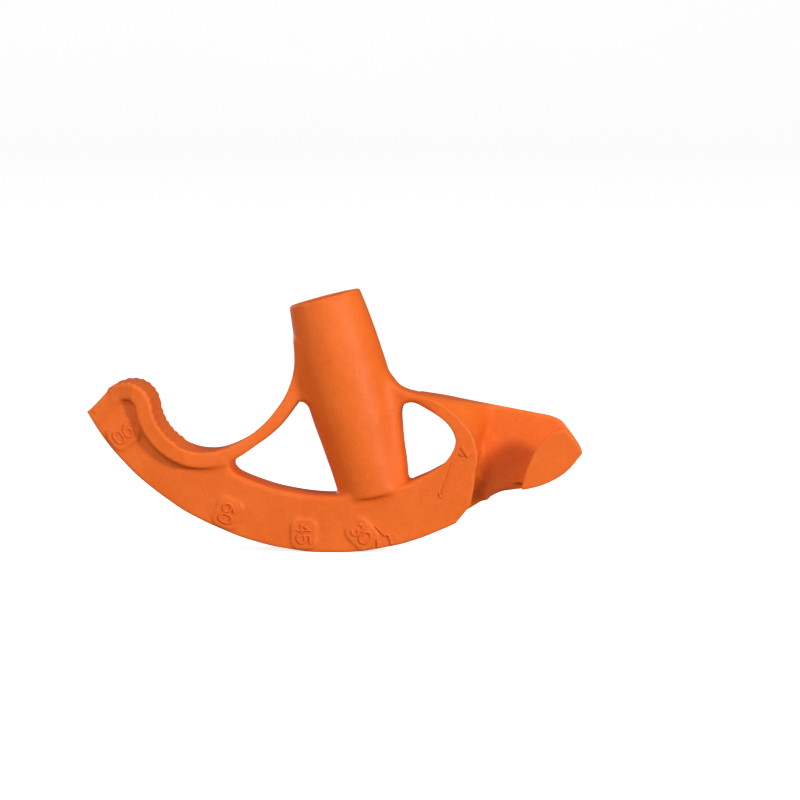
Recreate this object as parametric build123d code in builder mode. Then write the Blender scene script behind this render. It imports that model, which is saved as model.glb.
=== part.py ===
"""Head of a hand conduit bender for 3/4 inch thin-wall and 1/2 inch rigid conduit, on a 35 mm handle.

Frame: X runs along the shoe from the pedal (-X) to the hook (+X), Z is up and Y runs across the shoe.
The numbered flank faces -Y. The origin is the lowest point of the shoe's rim, in its middle plane, so the
centre of the shoe's arc is straight above it. Millimetres and degrees.
Angles along the shoe are measured at the arc's centre from straight down, positive towards the hook.
"""

from build123d import *
from math import atan2, cos, degrees, radians, sin, sqrt
import os

# ---- shoe and groove
RIM_R = 160.0  # outer radius of both flanges
HOOK_RIM_R = 157.0  # the far flange is lower where it runs into the hook
BED_R = 146.0  # the bed ends and the flanges begin
WINDOW_R = 127.8  # inner radius of the shoe, the lower edge of both windows
GROOVE_LINE_R = 152.0  # centre line of the bent conduit
GROOVE_R = 12.0  # seats a 23.4 mm conduit
SHOE_W = 34.0
HALF_W = SHOE_W / 2
SHOE_START = -63.0
BED_START = -25.0  # the bed meets the rear web here
BED_END = 33.0  # and the front strut here
FLANGE_END = 36.0
FULL_RIM_END = 27.0
FAR_FLANGE_JOINT = -17.0  # the far flange is in two lengths, which meet here
# the near flange is cut away outside this line, and ends in a straight edge towards the hook
NEAR_NOSE = (81.0, 28.0)
BEYOND_NOSE = [(90, 5), (120, 40)]

# ---- foot pedal and rear strut: three tangent arcs make their upper line
CROWN = (-118.3, 82.2)
CROWN_R = 15.0
CROWN_END = 8.0
HEEL_R = 31.0
HEEL_END = -72.0
STRUT_R = 59.4
STRUT_END = 1.0
TIP = (-141.0, 80.0)
TIP_SLOPE = 46.7
BAND_T = 10.5
PEDAL_CLEAR = (-20.0, 5.0, 40.0)  # the block over the tip's underside: its start, end and height
PEDAL_HALF_W = 23.0
# half the width of pedal and strut against X
BAND_PLAN = [
    (-145, HALF_W),
    (-130, 19.5),
    (-114, PEDAL_HALF_W),
    (-84, PEDAL_HALF_W),
    (-58, HALF_W),
    (-15, 10),
    (20, 10),
]
# the underside of the strut, from the web to the socket, and its end inside the barrel
STRUT_UNDERSIDE = [(-34.5, 67.8), (-19.2, 86.4)]
STRUT_ROOT = [(5, 112), (5, 91)]
RIB_R = 1.5
RIB_SINK = 0.5
CROWN_RIBS = 9
HEEL_RIBS = 7
RIB_PITCH = 3.95
RIB_HALF_W = 22.0

# ---- handle socket
MOUTH = (-4.8, 146.7)
LEAN = 14.7
BORE_R = 17.7  # 0.2 mm clearance round a 35 mm handle
BORE_DEPTH = 80.0
BORE_FLOOR_DIP = 6.0
RIM_ROUND = 1.2
OVER = 5.0  # how far a cut starts outside the surface it opens
# radius against height below the mouth
BARREL = [(21.0, 0), (23.7, -25), (25.2, -50), (23.9, -75), (21.6, -100), (20.6, -125)]
FOOT_R = 130.5  # the barrel stands proud of the flanks down to this radius of the shoe

# ---- set screw, in the back of the socket
SCREW_R = 4.0
SCREW_L = 8.0
SCREW_CLEARANCE = 0.05
SCREW_BELOW_MOUTH = 40.0
SCREW_TIP_Y = 18.0
KEY_ACROSS_FLATS = 4.0
KEY_DEPTH = 4.0
SCREW_CHAMFER = 0.6

# ---- hook
HOOK_ANGLE = 37.0  # the straight conduit leaves the shoe here, along the tangent
CHANNEL_REACH = 80.0
# the strut between the front window and its rounded nose, from the shoe round to the socket
WINDOW_EDGE = [(72.3, 65), (66, 76.5), (53, 84.3), (45.5, 85.6), (41, 81)]
STRUT_TOP = [(32, 108), (38, 99), (45, 94.6), (57, 92)]
FRONT_STRUT_ROOT = [(20, 78), (20, 108)]
# half the width of the front strut against X
STRUT_PLAN = [(15, 8), (40, 11), (62, HALF_W), (100, HALF_W)]
STRUT_NOSE = [(57, 92), (76.5, 76.5), (84.5, 60)]
# the far wall: along the top, round the end and back under the channel
WALL_TIP = [(125, 76.5), (133.5, 70), (141, 58)]
WALL_BOTTOM = [(135, 48.5), (122, 40.5), (108, 36.8), (97, 35)]
ROOT_AT_WALL = [(57, 92), (97, 82.4), (99, 64), (84.2, 50)]
ROOT_AT_FLANK = [(57, 92), (72, 84), (86, 62), (84.2, 50)]
# the lip, seen from the near side: underneath, round the end and along the channel
LIP_BOTTOM = [(110, 37), (124, 40.2), (138, 48.8), (146, 58.5)]
LIP_END = [(146, 58.5), (142, 66), (134.8, 72.3)]
LIP_TOP = [(134.8, 72.3), (124, 66), (115.5, 53), (110, 37)]
CRADLE_IN_CHANNEL = [(128, 75), (101, 37.5)]
WALL_INNER_Y = GROOVE_R
LIP_SPLIT_Y = -4.0
ROOT_NEAR_Y = -14.0

# ---- raised marks
PAD_T = 0.6
NUMERAL_T = 0.5
PAD_R = 150.0
PAD_LENGTH = 18.0
PAD_WIDTH = 15.5
PAD_CORNER = 5.0
MARK_ANGLES = {"30": 7.0, "45": -5.8, "60": -23.3, "90": -52.4}
TEXT_TILT = {"30": 38.0, "45": 6.0, "60": 0.0, "90": 0.0}
DIGIT_H = 7.4
DIGIT_W = 4.8
DIGIT_PITCH = 6.2
STROKE = 0.9
ARROW_ANGLE = 11.4
ARROW_R = 150.3
ARROW_LENGTH = 7.0
ARROW_T = 1.5
ARROW_HEAD_R = 1.2
STAR_ANGLE = 8.6
STAR_R = 139.0
STAR_SIZE = 2.4
POINTER = (78.0, 57.5)
POINTER_LENGTH = 5.5
POINTER_T = 2.0
POINTER_TURN = -55.0

ARC_CENTRE = (0.0, RIM_R)


def around(centre, radius, angle):
    """The point (x, z) on a circle at an angle from +X towards +Z."""
    return (centre[0] + radius * cos(radians(angle)), centre[1] + radius * sin(radians(angle)))


def on_shoe(radius, angle):
    """The point (x, z) on the shoe at an angle from straight down."""
    return around(ARC_CENTRE, radius, angle - 90)


def heading(start, end):
    """The angle of the line from start to end."""
    return degrees(atan2(end[1] - start[1], end[0] - start[0]))


def meet_shoe(point, angle, radius):
    """The point where the line from point at angle first meets the circle of that radius on the shoe."""
    x = point[0] - ARC_CENTRE[0]
    z = point[1] - ARC_CENTRE[1]
    along = x * cos(radians(angle)) + z * sin(radians(angle))
    reach = -along - sqrt(along**2 - (x**2 + z**2 - radius**2))
    return around(point, reach, angle)


def depth(y):
    """The plane at depth y, seen from -Y, with +X to the right and +Z up."""
    return Plane.XZ.offset(-y)


def flank(radius, angle, facing, tilt=0.0):
    """A plane on the near flank (facing -1) or the far one, its x axis pointing from the bed to the rim."""
    x, z = on_shoe(radius, angle)
    turn = angle - 90 + tilt
    return Plane(
        origin=(x, facing * HALF_W, z),
        x_dir=(cos(radians(turn)), 0, sin(radians(turn))),
        z_dir=(0, facing, 0),
    )


def arc(centre, radius, start, end):
    """Draws an arc from one angle to another."""
    return CenterArc(centre, radius, start, end - start)


def ring_sector(inner, outer, start, end):
    """Draws the outline of a sector of the shoe."""
    arc(ARC_CENTRE, inner, start - 90, end - 90)
    Line(on_shoe(inner, end), on_shoe(outer, end))
    arc(ARC_CENTRE, outer, start - 90, end - 90)
    Line(on_shoe(outer, start), on_shoe(inner, start))


def band_outline():
    """Draws the outline of the pedal: its upper line, and the same line BAND_T below."""
    Line(TIP, CROWN_START)
    arc(CROWN, CROWN_R, TIP_SLOPE + 90, CROWN_END)
    arc(HEEL, HEEL_R, CROWN_END + 180, HEEL_END + 360)
    Line(around(HEEL, HEEL_R, HEEL_END), WEB_END)
    arc(HEEL, INNER_HEEL_R, CROWN_END + 180, HEEL_END + 360)
    arc(CROWN, INNER_CROWN_R, TIP_SLOPE + 90, CROWN_END)
    Line(INNER_CROWN_START, TIP_INNER)
    Line(TIP_INNER, TIP)


def finish(piece, name):
    """Labels a piece and writes it."""
    piece.part.label = name
    export_step(piece.part, f"parts/{name}.step")


os.makedirs("parts", exist_ok=True)

HEEL = around(CROWN, CROWN_R + HEEL_R, CROWN_END)
STRUT = around(HEEL, STRUT_R - HEEL_R, HEEL_END + 180)
INNER_CROWN_R = CROWN_R - BAND_T
INNER_HEEL_R = HEEL_R + BAND_T
TIP_INNER = around(TIP, BAND_T, TIP_SLOPE - 90)
CROWN_START = around(CROWN, CROWN_R, TIP_SLOPE + 90)
INNER_CROWN_START = around(CROWN, INNER_CROWN_R, TIP_SLOPE + 90)
WEB_END = around(HEEL, INNER_HEEL_R, HEEL_END)
WEB_FOOT = meet_shoe(TIP_INNER, TIP_SLOPE, BED_R)
RIB_POINTS = [
    around(CROWN, CROWN_R - RIB_SINK, TIP_SLOPE + 90 - degrees(RIB_PITCH / CROWN_R) * (i + 0.5))
    for i in range(CROWN_RIBS)
]
RIB_POINTS += [
    around(HEEL, HEEL_R + RIB_SINK, CROWN_END + 180 + degrees(RIB_PITCH / HEEL_R) * (i + 0.5))
    for i in range(HEEL_RIBS)
]
ARC_AXIS = Axis((0, 0, RIM_R), (0, 1, 0))
SOCKET_PLANE = Plane(
    origin=(MOUTH[0], 0, MOUTH[1]),
    x_dir=(cos(radians(LEAN)), 0, sin(radians(LEAN))),
    z_dir=(0, -1, 0),
)
SOCKET_AXIS = Axis(SOCKET_PLANE.origin, SOCKET_PLANE.y_dir)
BORE_END_PLANE = Plane(origin=SOCKET_PLANE.from_local_coords((0, -BORE_DEPTH, 0)), z_dir=SOCKET_PLANE.y_dir)
CHANNEL_START = on_shoe(GROOVE_LINE_R, HOOK_ANGLE)
CHANNEL_PLANE = Plane(
    origin=(CHANNEL_START[0], 0, CHANNEL_START[1]),
    x_dir=(0, 1, 0),
    z_dir=(cos(radians(HOOK_ANGLE)), 0, sin(radians(HOOK_ANGLE))),
)
SCREW_POINT = SOCKET_PLANE.from_local_coords((0, -SCREW_BELOW_MOUTH, 0))
SCREW_PLANE = Plane(origin=(SCREW_POINT.X, SCREW_TIP_Y, SCREW_POINT.Z), z_dir=(0, 1, 0))

# ---- shapes that the pieces are trimmed with
with BuildPart() as groove_shape:
    with BuildSketch(Plane.YZ):
        with Locations((0, RIM_R - GROOVE_LINE_R)):
            Circle(GROOVE_R)
        with Locations((0, RIM_R - GROOVE_LINE_R - GROOVE_R)):
            Rectangle(2 * GROOVE_R, 2 * GROOVE_R)
    revolve(axis=ARC_AXIS)

with BuildPart() as channel_shape:
    with BuildSketch(CHANNEL_PLANE):
        Circle(GROOVE_R)
        with Locations((0, GROOVE_R)):
            Rectangle(2 * GROOVE_R, 2 * GROOVE_R)
    extrude(amount=CHANNEL_REACH, both=True)

with BuildPart() as barrel_shape:
    with BuildSketch(SOCKET_PLANE):
        with BuildLine():
            Spline(*BARREL)
            Polyline(BARREL[-1], (0, BARREL[-1][1]), (0, 0), BARREL[0])
        make_face()
    revolve(axis=SOCKET_AXIS)

with BuildPart() as band_width_shape:
    with BuildSketch(Plane.XY):
        with BuildLine():
            Polyline(*BAND_PLAN, *[(x, -y) for x, y in reversed(BAND_PLAN)], close=True)
        make_face()
    extrude(amount=RIM_R)

with BuildPart() as strut_width_shape:
    with BuildSketch(Plane.XY):
        with BuildLine():
            Polyline(*STRUT_PLAN, *[(x, -y) for x, y in reversed(STRUT_PLAN)], close=True)
        make_face()
    extrude(amount=RIM_R)

with BuildPart() as foot_shape:
    # everything below the socket: the bed between the flanks, and the shoe as a whole a little lower
    with BuildSketch(depth(0)):
        with BuildLine():
            ring_sector(WINDOW_R, RIM_R, BED_START, BED_END)
        make_face()
    extrude(amount=HALF_W, both=True)
    with BuildSketch(depth(0)):
        with BuildLine():
            ring_sector(FOOT_R, RIM_R, BED_START, BED_END)
        make_face()
    extrude(amount=RIM_R / 2, both=True)

# ---- shoe: its bed, the two flanges of the groove and the web behind
with BuildPart() as shoe_bed:
    with BuildSketch(depth(0)):
        with BuildLine():
            ring_sector(WINDOW_R, BED_R, BED_START, BED_END)
        make_face()
    extrude(amount=HALF_W, both=True)
    add(groove_shape.part, mode=Mode.SUBTRACT)
finish(shoe_bed, "shoe_bed")

CLEAR_START, CLEAR_END, CLEAR_HEIGHT = PEDAL_CLEAR
UNDER_PEDAL = [
    around(TIP_INNER, CLEAR_START, TIP_SLOPE),
    around(INNER_CROWN_START, CLEAR_END, TIP_SLOPE),
    around(INNER_CROWN_START, CLEAR_HEIGHT, TIP_SLOPE + 90),
    around(TIP_INNER, -CLEAR_HEIGHT, TIP_SLOPE),
]
NEAR_CORNER = [on_shoe(BED_R, FLANGE_END), NEAR_NOSE, on_shoe(RIM_R, FULL_RIM_END), *BEYOND_NOSE]

with BuildPart() as near_flange:
    with BuildSketch(depth(0)):
        with BuildLine():
            ring_sector(BED_R, RIM_R, SHOE_START, FLANGE_END)
        make_face()
        Polygon(*UNDER_PEDAL, align=None, mode=Mode.SUBTRACT)
        Polygon(*NEAR_CORNER, align=None, mode=Mode.SUBTRACT)
    extrude(amount=HALF_W)
    add(groove_shape.part, mode=Mode.SUBTRACT)
finish(near_flange, "near_flange")

with BuildPart() as far_flange_rear:
    with BuildSketch(depth(0)):
        with BuildLine():
            ring_sector(BED_R, RIM_R, SHOE_START, FAR_FLANGE_JOINT)
        make_face()
        Polygon(*UNDER_PEDAL, align=None, mode=Mode.SUBTRACT)
    extrude(amount=-HALF_W)
    add(groove_shape.part, mode=Mode.SUBTRACT)
finish(far_flange_rear, "far_flange_rear")

with BuildPart() as far_flange_front:
    with BuildSketch(depth(0)):
        with BuildLine():
            ring_sector(BED_R, RIM_R, FAR_FLANGE_JOINT, FULL_RIM_END)
        make_face()
    extrude(amount=-HALF_W)
    add(groove_shape.part, mode=Mode.SUBTRACT)
finish(far_flange_front, "far_flange_front")

with BuildPart() as hook_flange:
    with BuildSketch(depth(0)):
        with BuildLine():
            ring_sector(BED_R, HOOK_RIM_R, FULL_RIM_END, FLANGE_END)
        make_face()
    extrude(amount=-HALF_W)
    add(groove_shape.part, mode=Mode.SUBTRACT)
finish(hook_flange, "hook_flange")

with BuildPart() as rear_web:
    with BuildSketch(depth(0)):
        with BuildLine():
            arc(CROWN, INNER_CROWN_R, TIP_SLOPE + 90, CROWN_END)
            arc(HEEL, INNER_HEEL_R, CROWN_END + 180, HEEL_END + 360)
            Line(WEB_END, on_shoe(WINDOW_R, BED_START))
            Line(on_shoe(WINDOW_R, BED_START), on_shoe(BED_R, BED_START))
            arc(ARC_CENTRE, BED_R, BED_START - 90, heading(ARC_CENTRE, WEB_FOOT))
            Line(WEB_FOOT, INNER_CROWN_START)
        make_face()
    extrude(amount=HALF_W, both=True)
    add(groove_shape.part, mode=Mode.SUBTRACT)
finish(rear_web, "rear_web")

# ---- foot pedal, its ribs and the strut that carries on to the socket
with BuildPart() as foot_pedal:
    with BuildSketch(depth(0)):
        with BuildLine():
            band_outline()
        make_face()
    extrude(amount=PEDAL_HALF_W, both=True)
    add(band_width_shape.part, mode=Mode.INTERSECT)
    add(groove_shape.part, mode=Mode.SUBTRACT)
finish(foot_pedal, "foot_pedal")

with BuildPart() as pedal_ribs:
    with BuildSketch(depth(0)):
        with Locations(RIB_POINTS):
            Circle(RIB_R)
        with BuildLine():
            band_outline()
        make_face(mode=Mode.SUBTRACT)
    extrude(amount=RIB_HALF_W, both=True)
finish(pedal_ribs, "pedal_ribs")

with BuildPart() as rear_strut:
    with BuildSketch(depth(0)):
        with BuildLine():
            arc(STRUT, STRUT_R, HEEL_END, STRUT_END)
            Polyline(around(STRUT, STRUT_R, STRUT_END), *STRUT_ROOT, STRUT_UNDERSIDE[-1])
            ThreePointArc(WEB_END, *STRUT_UNDERSIDE)
            Line(WEB_END, around(HEEL, HEEL_R, HEEL_END))
        make_face()
    extrude(amount=HALF_W, both=True)
    add(band_width_shape.part, mode=Mode.INTERSECT)
    add(barrel_shape.part, mode=Mode.SUBTRACT)
finish(rear_strut, "rear_strut")

# ---- handle socket, the solid foot under its bore and its set screw
with BuildPart() as handle_socket:
    add(barrel_shape.part)
    fillet(handle_socket.edges().sort_by(SOCKET_AXIS)[-1], radius=RIM_ROUND)
    split(bisect_by=BORE_END_PLANE, keep=Keep.TOP)
    with BuildSketch(BORE_END_PLANE.offset(-OVER)):
        Circle(BORE_R)
    extrude(amount=BORE_DEPTH + 2 * OVER, mode=Mode.SUBTRACT)
    with BuildSketch(SCREW_PLANE):
        Circle(SCREW_R + SCREW_CLEARANCE)
    extrude(amount=BARREL[2][0], mode=Mode.SUBTRACT)
    with BuildSketch(SCREW_PLANE):
        Circle(SCREW_R + SCREW_CLEARANCE)
    extrude(amount=-SCREW_TIP_Y / 2, mode=Mode.SUBTRACT)
finish(handle_socket, "handle_socket")

with BuildPart() as socket_foot:
    add(barrel_shape.part)
    split(bisect_by=BORE_END_PLANE, keep=Keep.BOTTOM)
    with BuildSketch(SOCKET_PLANE):
        with BuildLine():
            Polyline(
                (0, -BORE_DEPTH),
                (BORE_R, -BORE_DEPTH),
                (0, -BORE_DEPTH - BORE_FLOOR_DIP),
                close=True,
            )
        make_face()
    revolve(axis=SOCKET_AXIS, mode=Mode.SUBTRACT)
    add(foot_shape.part, mode=Mode.SUBTRACT)
finish(socket_foot, "socket_foot")

with BuildPart() as set_screw:
    with BuildSketch(SCREW_PLANE):
        Circle(SCREW_R)
    extrude(amount=SCREW_L)
    chamfer(set_screw.edges().filter_by(GeomType.CIRCLE), length=SCREW_CHAMFER)
    with BuildSketch(SCREW_PLANE.offset(SCREW_L)):
        RegularPolygon(KEY_ACROSS_FLATS / 2, 6, major_radius=False)
    extrude(amount=-KEY_DEPTH, mode=Mode.SUBTRACT)
finish(set_screw, "set_screw")

# ---- front strut and hook
with BuildPart() as front_strut:
    with BuildSketch(depth(0)):
        with BuildLine():
            Spline(on_shoe(WINDOW_R, BED_END), *WINDOW_EDGE)
            Polyline(WINDOW_EDGE[-1], *FRONT_STRUT_ROOT, STRUT_TOP[0])
            Spline(*STRUT_TOP)
            ThreePointArc(*STRUT_NOSE)
            Line(STRUT_NOSE[-1], on_shoe(BED_R, FLANGE_END))
            arc(ARC_CENTRE, BED_R, BED_END - 90, FLANGE_END - 90)
            Line(on_shoe(BED_R, BED_END), on_shoe(WINDOW_R, BED_END))
        make_face()
    extrude(amount=HALF_W, both=True)
    add(strut_width_shape.part, mode=Mode.INTERSECT)
    add(barrel_shape.part, mode=Mode.SUBTRACT)
    add(groove_shape.part, mode=Mode.SUBTRACT)
finish(front_strut, "front_strut")

with BuildPart() as hook_wall:
    with BuildSketch(depth(WALL_INNER_Y)):
        with BuildLine():
            Line(STRUT_NOSE[0], WALL_TIP[0])
            Spline(*WALL_TIP)
            Spline(WALL_TIP[-1], *WALL_BOTTOM)
            Line(WALL_BOTTOM[-1], on_shoe(HOOK_RIM_R, FLANGE_END))
            Line(on_shoe(HOOK_RIM_R, FLANGE_END), on_shoe(BED_R, FLANGE_END))
            Line(on_shoe(BED_R, FLANGE_END), STRUT_NOSE[-1])
            ThreePointArc(*STRUT_NOSE)
        make_face()
    extrude(amount=WALL_INNER_Y - HALF_W)
finish(hook_wall, "hook_wall")

with BuildPart() as hook_root:
    for y, outline in ((WALL_INNER_Y, ROOT_AT_WALL), (ROOT_NEAR_Y, ROOT_AT_FLANK)):
        with BuildSketch(depth(y)):
            Polygon(*outline, align=None)
    loft()
    add(front_strut.part, mode=Mode.SUBTRACT)
    add(channel_shape.part, mode=Mode.SUBTRACT)
    add(groove_shape.part, mode=Mode.SUBTRACT)
finish(hook_root, "hook_root")

with BuildPart() as hook_cradle:
    with BuildSketch(depth(LIP_SPLIT_Y)):
        with BuildLine():
            Spline(*LIP_BOTTOM)
            Spline(*LIP_END)
            Polyline(LIP_END[-1], *CRADLE_IN_CHANNEL, LIP_BOTTOM[0])
        make_face()
    extrude(amount=LIP_SPLIT_Y - WALL_INNER_Y)
    add(channel_shape.part, mode=Mode.SUBTRACT)
finish(hook_cradle, "hook_cradle")

with BuildPart() as hook_lip:
    with BuildSketch(depth(LIP_SPLIT_Y)):
        with BuildLine():
            Spline(*LIP_BOTTOM)
            Spline(*LIP_END)
            Spline(*LIP_TOP)
        make_face()
    extrude(amount=HALF_W + LIP_SPLIT_Y)
    add(channel_shape.part, mode=Mode.SUBTRACT)
finish(hook_lip, "hook_lip")


# ---- degree marks: a raised pad and numerals on both flanks at each angle
def strokes(digit):
    """The centre lines of a digit's strokes, about the digit's centre."""
    r = DIGIT_W / 2
    top = DIGIT_H / 2
    if digit == "0":
        bowls = [CenterArc((0, top - r), r, 0, 180), CenterArc((0, r - top), r, 180, 180)]
        return bowls + [Line((x, top - r), (x, r - top)) for x in (-r, r)]
    if digit == "3":
        return [CenterArc((0, top / 2), top / 2, -90, 240), CenterArc((0, -top / 2), top / 2, -150, 240)]
    if digit == "4":
        return [
            Line((r / 2, -top), (r / 2, top)),
            Line((r / 2, top), (-r, -top / 3)),
            Line((-r, -top / 3), (r, -top / 3)),
        ]
    if digit == "5":
        return [
            Line((r, top), (-0.8 * r, top)),
            Line((-0.8 * r, top), (-0.8 * r, 0.1 * top)),
            ThreePointArc((-0.8 * r, 0.1 * top), (r, -0.4 * top), (-r, -0.9 * top)),
        ]
    loop_and_tail = [
        CenterArc((0, top - r), r, 0, 180),
        CenterArc((0, top - r), r, 180, 180),
        ThreePointArc((r, top - r), (0.8 * r, -0.3 * top), (-0.5 * r, -top)),
    ]
    turn = 180 if digit == "6" else 0
    return [line.rotate(Axis.Z, turn) for line in loop_and_tail]


DIGITS = {digit: strokes(digit) for digit in "034569"}
PLACES = (Pos(-DIGIT_PITCH / 2, 0), Pos(DIGIT_PITCH / 2, 0))

for facing, prefix in ((-1, ""), (1, "far_")):
    for text, angle in MARK_ANGLES.items():
        face = flank(PAD_R, angle, facing, TEXT_TILT[text])
        with BuildPart() as pad:
            with BuildSketch(face):
                RectangleRounded(PAD_LENGTH, PAD_WIDTH, PAD_CORNER)
            extrude(amount=PAD_T)
            # the pedal's edge stands over the pad at 90
            add(foot_pedal.part, mode=Mode.SUBTRACT)
        finish(pad, f"{prefix}pad_{text}")

        with BuildPart() as numerals:
            with BuildSketch(face.offset(PAD_T)):
                for place, digit in zip(PLACES, text):
                    for line in DIGITS[digit]:
                        SlotArc(place * line, height=STROKE)
            extrude(amount=NUMERAL_T)
        finish(numerals, f"{prefix}numerals_{text}")

# ---- raised marks that tell where a bend starts
with BuildPart() as start_arrow:
    with BuildSketch(flank(ARROW_R, ARROW_ANGLE, -1, TEXT_TILT["30"])):
        SlotCenterToCenter(ARROW_LENGTH, ARROW_T)
        with Locations((ARROW_LENGTH / 2, ARROW_T)):
            Circle(ARROW_HEAD_R)
    extrude(amount=PAD_T)
finish(start_arrow, "start_arrow")

with BuildPart() as star_mark:
    with BuildSketch(flank(STAR_R, STAR_ANGLE, -1)):
        for turn in (0, 60, 120):
            SlotCenterToCenter(STAR_SIZE, STROKE, rotation=turn)
    extrude(amount=PAD_T)
finish(star_mark, "star_mark")

with BuildPart() as hook_pointer:
    with BuildSketch(Plane(origin=(POINTER[0], -HALF_W, POINTER[1]), x_dir=(1, 0, 0), z_dir=(0, -1, 0))):
        SlotCenterToCenter(POINTER_LENGTH, POINTER_T, rotation=POINTER_TURN)
    extrude(amount=PAD_T)
finish(hook_pointer, "hook_pointer")
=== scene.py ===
"""Looks of the conduit bender head: one seamless painted casting, its raised numerals and marks, and the
set screw.

The casting is worked out as a distance field in millimetres, which is negative inside the iron, because a
field gives a casting's rounded edges and fillets directly. X runs to the hook, Y away from the numbered
flank and Z up. Angles along the shoe are measured from straight down, positive towards the hook.
"""

from math import ceil, cos, degrees, hypot, pi, radians, sin

import bpy
import numpy as np
import openvdb
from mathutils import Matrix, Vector


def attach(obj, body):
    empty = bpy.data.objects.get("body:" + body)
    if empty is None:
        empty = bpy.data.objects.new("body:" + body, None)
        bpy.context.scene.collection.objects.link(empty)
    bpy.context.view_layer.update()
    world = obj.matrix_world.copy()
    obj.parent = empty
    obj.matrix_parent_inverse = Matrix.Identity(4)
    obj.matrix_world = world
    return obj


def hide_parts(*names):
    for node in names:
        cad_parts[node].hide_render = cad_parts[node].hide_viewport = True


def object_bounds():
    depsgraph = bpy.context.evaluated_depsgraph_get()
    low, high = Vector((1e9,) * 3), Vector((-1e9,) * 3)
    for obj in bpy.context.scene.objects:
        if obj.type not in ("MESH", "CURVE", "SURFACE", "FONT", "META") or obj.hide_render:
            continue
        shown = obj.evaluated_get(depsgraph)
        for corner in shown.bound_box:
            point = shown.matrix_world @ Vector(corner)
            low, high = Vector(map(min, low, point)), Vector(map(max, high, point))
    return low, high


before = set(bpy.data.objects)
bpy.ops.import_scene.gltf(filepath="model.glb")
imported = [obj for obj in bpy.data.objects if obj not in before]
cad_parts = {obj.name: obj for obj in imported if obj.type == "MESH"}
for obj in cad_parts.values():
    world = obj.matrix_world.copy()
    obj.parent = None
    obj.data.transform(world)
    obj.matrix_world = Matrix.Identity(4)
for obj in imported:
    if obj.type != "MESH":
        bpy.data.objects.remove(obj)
CAD_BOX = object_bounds()

MM = 0.001
VOXEL = 0.8
MARK_VOXEL = 0.22
FAR = 1e6  # further than anything in a field
MARGIN = 4.0  # empty space round a shape in its field
FIELD_BAND = 3  # voxels on each side of a surface that keep their distance

# ---- shoe and groove
RIM_R = 160.0
HOOK_RIM_R = 157.4
RIM_FLARE = 2.0  # the rim straightens a little under the pedal
RIM_FLARE_SPAN = (-20.0, -60.0)
WINDOW_R = 127.2
GROOVE_LINE_R = 152.0
GROOVE_R = 12.0
HALF_W = 17.0
SHOE_START = -60.6
WINDOW_START = -22.0
WEB_CORNER = [(-58.6, 50.9), (-57.4, 48.0), (-54.4, 45.2)]
WINDOW_END = 31.0
HOOK_RIM_SPAN = (34.0, 29.0)
FULL_RIM_END = 27.0
GROOVE_EDGE = 1.5
# The shoe gets its full width this far short of the windows' edge, so that the barrel stands on it, but only
# at the edge itself in the span of X where the front strut stands.
FULL_WIDTH_SHORT = 5.0
FULL_WIDTH_BLEND = 2.0
STRUT_FOOT_SPAN = ((30, 37), (46, 54))
RIM_EDGE = 1.1
RIM_EDGE_BLEND = (136, 148)  # radii of the shoe over which the edges turn into the rim's
EDGE_PLAN = [(-90, 1.8), (-60, 3.2), (48, 3.2), (64, 0.8)]  # the radius of the other edges against X

# ---- pedal and rear strut
CROWN = (-118.3, 82.2)
CROWN_R = 15.0
CROWN_END = 8.0
HEEL_R = 31.0
HEEL_END = -72.0
STRUT_R = 62.4
STRUT_END = 2.0
TIP = (-139.8, 81.3)
TIP_SLOPE = 46.7
BAND_T = 9.4
BAND_EDGE = 1.8
BAND_FILLET = 3.2
BAND_UNDERSIDE = [(-34.5, 67.8), (-19.2, 86.4)]
BAND_ROOT = [(5, 112), (5, 91)]  # inside the barrel
BAND_PLAN = [  # half the band's width against X
    (-150, HALF_W),
    (-129, HALF_W),
    (-122, 19),
    (-114, 22.4),
    (-108, 23),
    (-84, 23),
    (-58, HALF_W),
    (-15, 10),
    (60, 10),
]
RIB_R = 1.9
RIB_SINK = 1.1
RIB_PITCH = 3.95
CROWN_RIBS = 9
HEEL_RIBS = 7
RIB_INSET = 0.3
RIB_EDGE = 1.2

# ---- handle socket
MOUTH = (-4.8, 146.7)
LEAN = 14.7
BORE_R = 17.7
BORE_DEPTH = 80.0
BARREL = [(0, 21.0), (25, 23.7), (50, 25.2), (75, 23.9), (100, 21.6), (125, 20.6)]  # radius against depth
MOUTH_EDGE = 1.6
BORE_EDGE = 1.0
FOOT_R = 130.5
FOOT_EDGE = 2.0
FOOT_FILLET = 3.0  # where the barrel stands on the shoe
BARREL_FILLET = 6.5  # where the struts meet the barrel
FILLET_GROWS = (36, 56)  # heights between which one turns into the other
SCREW_BELOW_MOUTH = 40.0
SCREW_HOLE_R = 4.2
SCREW_HOLE_EDGE = 0.8
SCREW_TIP_Y = 18.0
SCREW_R = 4.0
SCREW_LENGTH = 8.0
SCREW_CHAMFER = 0.75
THREAD_PITCH = 1.25
THREAD_DEPTH = 0.55
KEY_HALF = 2.0
KEY_DEPTH = 4.0

# ---- hook
HOOK_ANGLE = 37.0
WALL_INNER_Y = 12.0
NOSE = [(54.5, 90.6), (67, 84.8), (76.5, 76), (82.5, 67.5), (84.8, 58), (84.2, 50), (83, 38), (80.9, 27.7)]
STRUT_TOP = [(20, 124), (26.3, 113.4), (31, 104.7), (36, 97.9), (43.2, 93.4), (54.5, 90.6)]
WINDOW_EDGE = [(70.5, 58.5), (72.4, 65), (70.2, 71.5), (66, 76.5), (60, 80.7), (53, 84.4)]
WINDOW_CORNER = [(47.5, 86.4), (42.4, 85.4), (39.6, 81.8), (39.0, 75), (40.0, 63), (41.2, 50), (41.9, 36)]
OPENING_CORNER = (60, 46)
STRUT_FOOT_R = 138.0
STRUT_FOOT_END = 35.0
FRONT_STRUT_ROOT = [(25, 40), (12, 120)]  # inside the barrel
FRONT_STRUT_FILLET = 2.0
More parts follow.
